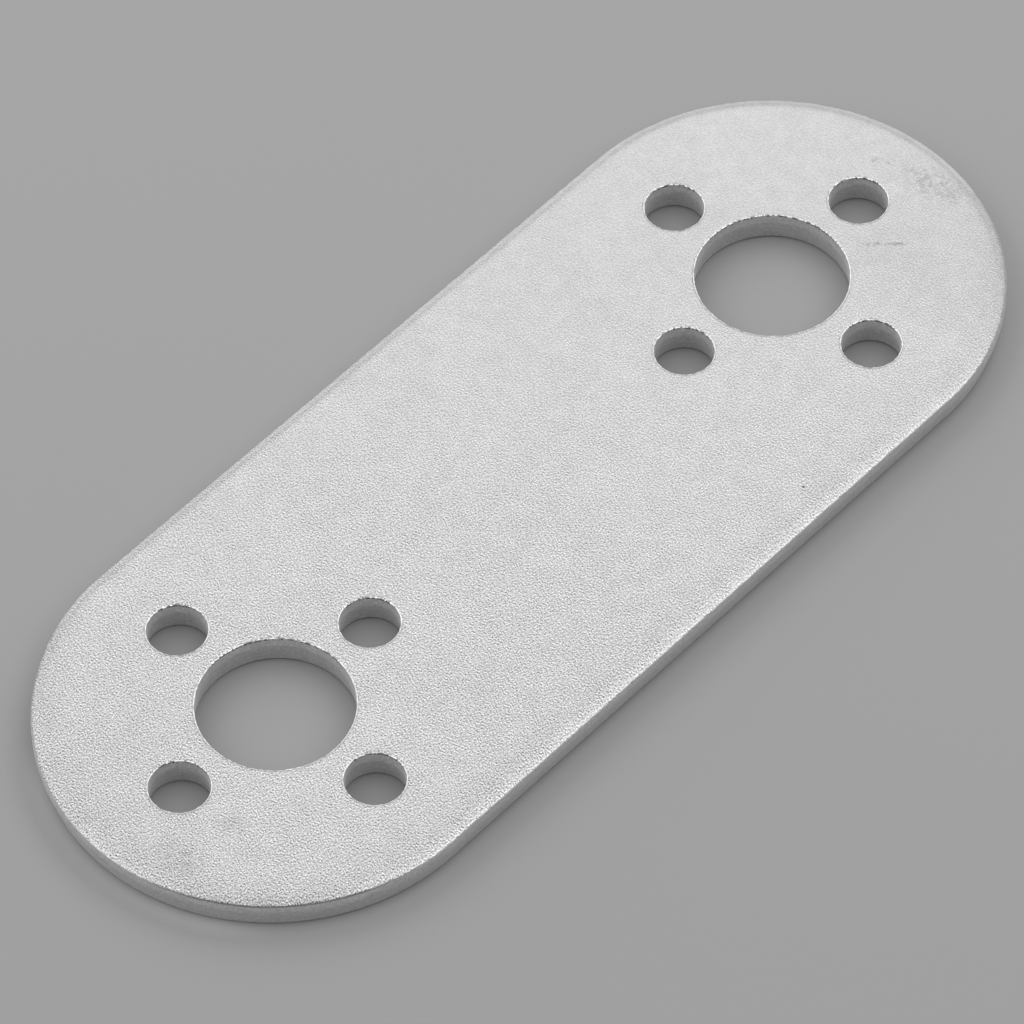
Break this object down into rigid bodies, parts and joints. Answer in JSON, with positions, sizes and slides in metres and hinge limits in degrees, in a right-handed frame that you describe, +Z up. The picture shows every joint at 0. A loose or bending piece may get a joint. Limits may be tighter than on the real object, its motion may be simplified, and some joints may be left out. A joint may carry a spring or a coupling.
{
  "type": "servo bracket",
  "caption": "Flat round-ended aluminium plate that links servo discs: a hub bore ringed by screw holes at each end.",
  "frame": {"origin": "middle of the underside", "axes": "+X along the plate from one hub bore to the other, +Z up through its thickness"},
  "size_m": [0.0632, 0.025, 0.002],
  "materials": {
    "blasted_aluminium": "fine bead-blasted matt silver, with stamped edges"
  },
  "bodies": {
    "root": {"plate": "blasted_aluminium"}
  },
  "joints": []
}
